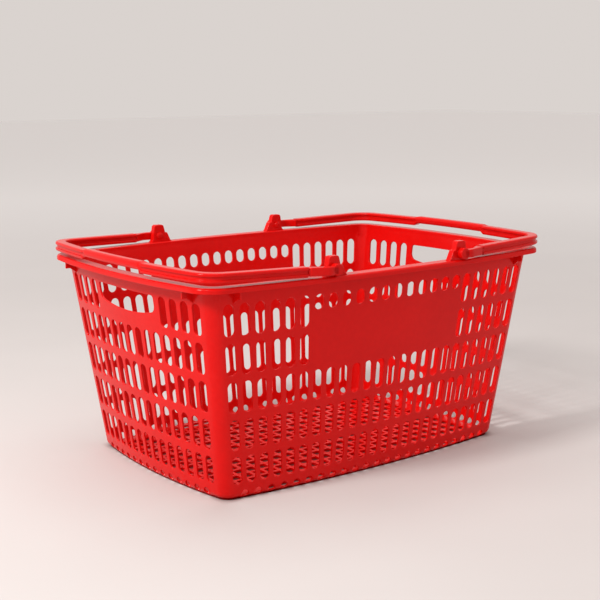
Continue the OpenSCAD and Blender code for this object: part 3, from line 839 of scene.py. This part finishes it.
# ---------------------------------------------------------------- handles
BAR_W, BAR_H, GROOVE = 12.0, 11.0, 1.8
RIDGE, KNUCKLE, GRIP_HALF, STEP_L, GRIP_LIFT, GRIP_H = 3.6, 127.0, 66.0, 8.0, 3.0, 9.5
BAR_Z, BAR_OUT = RIM_Z + 1.2, RIM_OUT + 1.0
BAR_IN = BAR_OUT - BAR_W
HUB_R, HUB_GAP, HUB_T, PIN_D = 6.5, 0.35, 7.0, 7.0
HUB_IN = LUG_OUT - HUB_GAP
HUB_OUT = HUB_IN - HUB_T


def handle_path():
    """Plan stations of half of the left bail: from the middle of the grip round the corner to the knuckle.
    Each is (point on the outer wall's curve, outward direction, share of the grip's shape)."""
    near_grip = GRIP_HALF - STEP_L
    last_y = -SHORT_R * math.sin(-SA)
    out = []
    for y in (*np.linspace(0, near_grip, 14)[:-1], *np.linspace(near_grip, GRIP_HALF, 13),
              *np.linspace(GRIP_HALF + 4, last_y, 14)[:-1]):
        a = math.asin(y / SHORT_R)
        n = np.array([-math.cos(a), -math.sin(a)])
        out.append((np.array([SCX, 0]) + SHORT_R * n, n, smooth((GRIP_HALF - y) / STEP_L)))
    for a in np.linspace(math.pi + SA, 3 * math.pi / 2 - LA, 15):
        n = np.array([math.cos(a), math.sin(a)])
        out.append((np.array([CX, CY]) + CORNER_R * n, n, 0.0))
    for x in np.linspace(-LONG_R * math.sin(LA), -KNUCKLE, 22)[1:]:
        a = math.asin(x / LONG_R)
        n = np.array([math.sin(a), -math.cos(a)])
        out.append((np.array([0, LCY]) + LONG_R * n, n, 0.0))
    return out


def bar_section():
    """Cross-section of the bar as (offset, height, normal out, normal up), anticlockwise from the inner foot;
    two rounded ridges with a recessed web on both sides."""
    r, g = 2.1, 0.6
    w, h, e = BAR_W, BAR_H, GROOVE
    s = []

    def arc(cx, cz, rad, a0, a1, n, sign=1):
        for i in range(n + 1):
            a = math.radians(a0 + (a1 - a0) * i / n)
            s.append((cx + rad * math.cos(a), cz + rad * math.sin(a), sign * math.cos(a), sign * math.sin(a)))
    # outer side, from the bottom up (offset grows outwards)
    arc(w - r, r, r, -90, 0, 4)
    arc(w - g, RIDGE - g, g, 0, 90, 2)
    arc(w - e + g, RIDGE + g, g, 270, 180, 2, -1)
    arc(w - e + g, h - RIDGE - g, g, 180, 90, 2, -1)
    arc(w - g, h - RIDGE + g, g, -90, 0, 2)
    arc(w - r, h - r, r, 0, 90, 4)
    # inner side, from the top down
    arc(r, h - r, r, 90, 180, 4)
    arc(g, h - RIDGE + g, g, 180, 270, 2)
    arc(e - g, h - RIDGE - g, g, 90, 0, 2, -1)
    arc(e - g, RIDGE + g, g, 0, -90, 2, -1)
    arc(g, RIDGE - g, g, 90, 180, 2)
    arc(r, r, r, 180, 270, 4)
    return np.array(s)


def grip_section():
    """A full rounded oblong, in the same form as the bar's section."""
    w, h, r = BAR_W, GRIP_H, 3.9
    out = []
    for x, z, a0 in ((w - r, r, -90), (w - r, h - r, 0), (r, h - r, 90), (r, r, 180)):
        for i in range(25):
            a = math.radians(a0 + 90 * i / 24)
            out.append((x + r * math.cos(a), z + r * math.sin(a), math.cos(a), math.sin(a)))
    return np.array(out)


def matched_grip(bar):
    """The grip's section, with a point for each of the bar's by its share of the way round each half."""
    grip = grip_section()
    parts = []
    for bar_half, grip_half in zip(np.split(bar, 2), np.split(grip, 2)):
        along_bar, along_grip = (np.concatenate([[0], np.cumsum(np.hypot(*np.diff(q[:, :2], axis=0).T))])
                                 for q in (bar_half, grip_half))
        t = along_bar / along_bar[-1] * along_grip[-1]
        parts.append(np.stack([np.interp(t, along_grip, grip_half[:, j]) for j in range(4)], -1))
    matched = np.vstack(parts)
    matched[:, 2:] /= np.linalg.norm(matched[:, 2:], axis=1, keepdims=True)
    return matched


def smooth(t):
    """Soft step from 0 to 1."""
    t = min(1.0, max(0.0, t))
    return t * t * (3 - 2 * t)


def tilt(v):
    """A folded handle slopes up a little from its pivot; the grip end is higher."""
    v = np.array(v, float)
    dx, dz = v[..., 0] + PIVOT_X, v[..., 2] - PIVOT_Z
    c, s = math.cos(TILT), math.sin(TILT)
    v[..., 0] = dx * c + dz * s - PIVOT_X
    v[..., 2] = -dx * s + dz * c + PIVOT_Z
    return v


def tilt_dir(n):
    """The same slope for directions."""
    n = np.array(n, float)
    c, s = math.cos(TILT), math.sin(TILT)
    x, z = n[..., 0].copy(), n[..., 2].copy()
    n[..., 0] = x * c + z * s
    n[..., 2] = -x * s + z * c
    return n


def handle_half():
    """Near half of the left handle as a Shell, before its tilt."""
    sh = Shell()
    bar = bar_section()
    grip = matched_grip(bar)
    rings, nrms = [], []
    for p, n, share in handle_path():
        section = bar * (1 - share) + grip * share
        off = BAR_IN + section[:, 0]
        z = BAR_Z + section[:, 1] + GRIP_LIFT * share
        facing = np.column_stack([n[0] * section[:, 2], n[1] * section[:, 2], section[:, 3]])
        rings.append(np.column_stack([p[0] + n[0] * off, p[1] + n[1] * off, z]))
        nrms.append(facing / np.linalg.norm(facing, axis=1, keepdims=True))
    rings, nrms = np.array(rings), np.array(nrms)
    # the step's own slope bends the upward normals
    along = np.gradient(rings, axis=0)
    corr = (nrms * along).sum(-1, keepdims=True) / np.maximum((along * along).sum(-1, keepdims=True), 1e-9)
    nrms = nrms - corr * along
    nrms /= np.linalg.norm(nrms, axis=-1, keepdims=True)
    sh.grid(rings, nrms, loop=True)
    # closing face at the knuckle end, hidden inside the neck
    end = rings[-1]
    m = len(end)
    fan = [[(i + 1) % m, i, m] for i in range(m)]
    sh.polygon(np.vstack([end, end.mean(0)[None]]), np.array([1.0, 0, 0]), fan)
    return sh


NECK_Z, NECK_H, NECK_CLEAR, NECK_ROUND = PIVOT_Z - 5.5, 9.5, 17.0, 2.6
HEAD_R, HEAD_GAP, HUB_EDGE = 4.45, 0.4, 0.9


def neck_outline():
    """Plan of the near left neck, from the hub to the knuckle."""
    knuckle_in, knuckle_out = (near_top(-KNUCKLE, off)[1] for off in (BAR_IN, BAR_OUT))
    return fillet([(-PIVOT_X, HUB_IN), (-PIVOT_X - NECK_CLEAR, HUB_IN), (-KNUCKLE, knuckle_in),
                   (-KNUCKLE, knuckle_out), (-PIVOT_X - 12, HUB_OUT), (-PIVOT_X, HUB_OUT)],
                  [0, 9, 1.5, 4.0, 14, 0], 8)


def handle(name, mirror):
    """One bail, from its two halves."""
    half = handle_half()
    whole = Shell()
    whole.add(half, EYE)
    whole.add(half, MIRROR_Y)
    whole.v = [tilt(v) for v in whole.v]
    whole.n = [tilt_dir(n) for n in whole.n]
    out = Shell()
    out.add(whole, mirror)
    return out.build(name)


def add_loops(bm, loops):
    """Faces between neighbouring loops of vertices; a loop of one vertex is a tip."""
    for a, b in zip(loops, loops[1:]):
        n = max(len(a), len(b))
        for i in range(n):
            j = (i + 1) % n
            if len(a) == 1:
                bm.faces.new((a[0], b[i], b[j]))
            elif len(b) == 1:
                bm.faces.new((a[i], b[0], a[j]))
            else:
                bm.faces.new((a[i], b[i], b[j], a[j]))


def add_turned(bm, profile, seg=56):
    """A body turned about the pivot's axis; profile is (y, radius), with a tip at both ends."""
    loops = []
    for y, r in profile:
        if r == 0:
            loops.append([bm.verts.new((-PIVOT_X, y, PIVOT_Z))])
        else:
            angles = [2 * math.pi * i / seg for i in range(seg)]
            loops.append([bm.verts.new((-PIVOT_X + r * math.cos(a), y, PIVOT_Z + r * math.sin(a)))
                          for a in angles])
    add_loops(bm, loops)


def hub_parts(name, turn):
    """Neck, hub disc, pin and snap head at one end of one handle, made at the near left and turned."""
    plan = neck_outline()
    bm = bmesh.new()
    low, high = ([bm.verts.new((*q, z)) for q in plan] for z in (NECK_Z, NECK_Z + NECK_H))
    bm.faces.new(low[::-1])
    bm.faces.new(high)
    add_loops(bm, [high, low])
    r, pin_r, head = HUB_R, PIN_D / 2, LUG_IN + HEAD_GAP
    add_turned(bm, [(HUB_OUT, 0), (HUB_OUT, 3.0), (HUB_OUT, r - HUB_EDGE), (HUB_OUT + 0.25, r - 0.3),
                    (HUB_OUT + 0.8, r), (HUB_IN - 0.5, r), (HUB_IN - 0.12, r - 0.2), (HUB_IN, r - 0.6),
                    (HUB_IN, pin_r + 0.3), (HUB_IN + 0.3, pin_r), (head, pin_r), (head + 0.15, 4.15),
                    (head + 0.6, HEAD_R), (head + 0.9, 4.3), (head + 1.6, 3.0), (head + 1.6, 0)])
    for v in bm.verts:
        v.co = Vector(mm(turn @ tilt(np.array(v.co))))
    bmesh.ops.recalc_face_normals(bm, faces=bm.faces)
    caps = [e for e in bm.edges if e.calc_face_angle(0) > math.radians(60)
            and any(len(f.verts) > 20 for f in e.link_faces)]
    return rounded(bm, name, caps, NECK_ROUND, 4)


handle_obs = {}
for side, mirror in (("left", EYE), ("right", MIRROR_X)):
    body = "handle_" + side
    handle_obs[body] = [handle(body + "_bail", mirror),
                        hub_parts(body + "_hub_near_p", mirror),
                        hub_parts(body + "_hub_far_p", mirror @ MIRROR_Y)]


# ---------------------------------------------------------------- materials
class Nodes:
    """The node tree of a new material, with a short way to add each kind of node."""

    def __init__(self, name):
        self.mat = bpy.data.materials.new(name)
        self.mat.use_nodes = True
        self.bsdf = self.mat.node_tree.nodes["Principled BSDF"]
        self.place = self.add("TexCoord").outputs["Object"]

    def fill(self, sockets, values):
        """Links each output in values to its socket, and gives the other sockets their plain values."""
        for key, value in values.items():
            if isinstance(value, bpy.types.NodeSocket):
                self.mat.node_tree.links.new(value, sockets[key])
            else:
                sockets[key].default_value = value

    def add(self, kind, values=None, **settings):
        node = self.mat.node_tree.nodes.new("ShaderNode" + kind)
        for key, value in settings.items():
            setattr(node, key, value)
        self.fill(node.inputs, values or {})
        return node

    def noise(self, scale, detail=3.0, rough=0.5, warp=0.0):
        values = {"Vector": self.place, "Scale": scale, "Detail": detail, "Roughness": rough}
        return self.add("TexNoise", {**values, "Distortion": warp}).outputs["Fac"]

    def ramp(self, source, p0, c0, p1, c1):
        node = self.add("ValToRGB", {"Fac": source})
        for end, position, color in zip(node.color_ramp.elements, (p0, p1), (c0, c1)):
            end.position, end.color = position, (*color, 1)
        return node.outputs["Color"]

    def remap(self, source, a, b, low=0.0, high=1.0, kind="LINEAR"):
        values = dict(enumerate((source, a, b, low, high)))
        return self.add("MapRange", values, interpolation_type=kind).outputs["Result"]

    def calc(self, kind, a, b=0.0):
        return self.add("Math", {0: a, 1: b}, operation=kind).outputs["Value"]

    def axis(self, source, letter):
        return self.add("SeparateXYZ", {"Vector": source}).outputs[letter]

    def mix(self, factor, a, b, kind="MIX"):
        """Colour b over colour a by the factor. The node has sockets of the same name for other types."""
        node = self.add("Mix", {"Factor": factor}, data_type="RGBA", blend_type=kind)
        self.fill([k for k in node.inputs if k.type == "RGBA"], {0: a, 1: b})
        return [k for k in node.outputs if k.type == "RGBA"][0]


DUST, DUST_SHARE = (0.55, 0.42, 0.38, 1), 0.05


def plastic(name, base, deep, rough, wear):
    """Moulded gloss plastic: a faint drift in tone and in gloss, fine orange peel, dust on what faces up."""
    s = Nodes(name)
    tone = s.ramp(s.noise(9.0, 4.0, 0.55, 0.3), 0.35, deep, 0.68, base)
    fine = s.ramp(s.noise(160.0, 2.0), 0.42, (0.97, 0.97, 0.97), 0.6, (1, 1, 1))
    up = s.remap(s.axis(s.add("NewGeometry").outputs["Normal"], "Z"), 0.6, 1.0)
    specks = s.remap(s.noise(420.0, 2.0, 0.7), 0.56, 0.72)
    dust = s.calc("MULTIPLY", s.calc("MULTIPLY", up, specks), DUST_SHARE)
    peel = s.add("Bump", {"Strength": 0.08, "Distance": 0.0003, "Height": s.noise(70.0)})
    grain = s.add("Bump", {"Strength": 0.10, "Distance": 0.00006, "Height": s.noise(900.0, 2.0),
                           "Normal": peel.outputs["Normal"]})
    drift = s.noise(26.0, 4.0, 0.6, 0.6)
    s.fill(s.bsdf.inputs, {
        "Base Color": s.mix(dust, s.mix(1.0, tone, fine, "MULTIPLY"), DUST),
        "Roughness": s.remap(drift, 0.3, 0.75, rough - wear * 0.5, rough + wear),
        "IOR": 1.49,
        "Specular IOR Level": 0.16,
        "Subsurface Weight": 0.06,
        "Subsurface Radius": (0.006, 0.001, 0.0006),
        "Subsurface Scale": 1.0,
        "Normal": grain.outputs["Normal"]})
    return s.mat


RED = (0.70, 0.0045, 0.0035)
RED_DEEP = (0.66, 0.0035, 0.0028)
tub_mat = plastic("tub_gloss_red", RED, RED_DEEP, 0.20, 0.07)
handle_mat = plastic("handle_gloss_red", (0.68, 0.0042, 0.0033), (0.63, 0.0033, 0.0026), 0.17, 0.08)

# metres on the studio floor: where it starts and ends turning lighter, and half of the part with painted shade
FADE_FROM, FADE_TO = 0.6, 3.6
PAINTED_SHADE_HALF, PAINTED_SHADE_EDGE = {"X": 0.208, "Y": 0.139}, 0.016
# painted shade under the basket: a dark colour with painted red bounce light from the plastic in it
PAINTED_SHADE = (0.16, 0.022, 0.018, 1)


def matt(name, base, far, spread, scale):
    """Pale floor: painted shade, tinted dark red as painted bounce light from the plastic, where the basket
    keeps the light off it; lighter far away to lose its edge.
    """
    s = Nodes(name)
    pale = s.ramp(s.noise(scale, 4.0), 0.3, [c - spread for c in base], 0.7, base)
    away = s.add("VectorMath", {0: s.place}, operation="LENGTH").outputs["Value"]
    lit = s.mix(s.remap(away, FADE_FROM, FADE_TO, kind="SMOOTHSTEP"), pale, (*far, 1))
    # mask of the painted shade: 1 inside the basket's footprint, fading to 0 across its edge
    x, y = (s.remap(s.calc("ABSOLUTE", s.axis(s.place, letter)), half - PAINTED_SHADE_EDGE, half, 1.0, 0.0)
            for letter, half in PAINTED_SHADE_HALF.items())
    color = s.mix(s.calc("MULTIPLY", x, y), lit, PAINTED_SHADE)
    s.fill(s.bsdf.inputs, {"Base Color": color, "Roughness": 0.75, "Specular IOR Level": 0.1})
    return s.mat


# ---------------------------------------------------------------- stage
floor_mat = matt("studio_floor", (0.60, 0.57, 0.56), (0.97, 0.96, 0.96), 0.02, 3.0)


def sheet(name, verts, mat):
    """A flat stage piece."""
    me = bpy.data.meshes.new(name)
    me.from_pydata(verts, [], [(0, 1, 2, 3)])
    ob = bpy.data.objects.new(name, me)
    bpy.context.scene.collection.objects.link(ob)
    me.materials.append(mat)
    return ob


REACH = 12.0
sheet("studio_floor_sheet", [(-REACH, -REACH, 0), (REACH, -REACH, 0), (REACH, REACH, 0), (-REACH, REACH, 0)],
      floor_mat)

bpy.context.scene.view_settings.view_transform = "Standard"
world = bpy.data.worlds.new("soft_room")
bpy.context.scene.world = world
world.use_nodes = True
world.node_tree.nodes["Background"].inputs["Color"].default_value = (1.0, 0.93, 0.89, 1)
world.node_tree.nodes["Background"].inputs["Strength"].default_value = 0.70


def area(name, pos, target, size, power, color=(1, 1, 1)):
    """A soft rectangular light that faces its target."""
    d = bpy.data.lights.new(name, "AREA")
    d.shape = "RECTANGLE"
    d.size, d.size_y = size
    d.energy = power
    d.color = color
    ob = bpy.data.objects.new(name, d)
    ob.location = pos
    ob.rotation_euler = (Vector(target) - Vector(pos)).to_track_quat("-Z", "Y").to_euler()
    bpy.context.scene.collection.objects.link(ob)
    return ob


area("key_left", (-1.7, -0.1, 1.5), (0, 0, 0.12), (0.32, 0.42), 31, (1.0, 0.97, 0.94))
area("top_soft", (0.1, 0.3, 2.1), (0, 0, 0.1), (1.4, 1.4), 14)
area("glint_near", (-1.13, -0.85, 1.41), (0, 0, 0.2), (0.12, 0.12), 3.5)

# ---------------------------------------------------------------- camera
cam_d = bpy.data.cameras.new("view")
cam_d.lens = 71.586
cam_d.sensor_width = 36.0
cam_d.sensor_fit = "HORIZONTAL"
cam = bpy.data.objects.new("view", cam_d)
bpy.context.scene.collection.objects.link(cam)
pos = Vector((-0.8691, -1.1388, 0.4384))
look = Vector((0, 0, 0.1761)) - pos
q = look.to_track_quat("-Z", "Y").to_matrix().to_4x4()
cam.matrix_world = Matrix.Translation(pos) @ q @ Matrix.Rotation(math.radians(-0.31), 4, "Z")
bpy.context.scene.camera = cam

# ---------------------------------------------------------------- frame links
names = list(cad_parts)


def starting(*heads):
    """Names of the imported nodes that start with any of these."""
    return [k for k in names if any(k.startswith(h) for h in heads)]


FIN_NODES = ("fins_near", "fins_far", "fins_left", "fins_right")
tub_obs = [(tub_shell, starting("wall_", "corner_", "rim_")), (tub_floor, starting("floor_"))]
tub_obs += [(ob, [node]) for ob, node in zip(fin_obs, FIN_NODES)]
tub_obs += [(ob, [node]) for node, ob in lug_obs.items()]
for ob, nodes in tub_obs:
    ob.data.materials.append(tub_mat)
    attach(ob, "tub")
    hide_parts(*nodes)
for body, obs in handle_obs.items():
    side = body.split("_")[1]
    groups = (starting("grip_" + side, "bend_" + side, "arm_" + side), ["hub_%s_near" % side],
              ["hub_%s_far" % side])
    for ob, nodes in zip(obs, groups):
        ob.data.materials.append(handle_mat)
        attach(ob, body)
        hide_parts(*nodes)
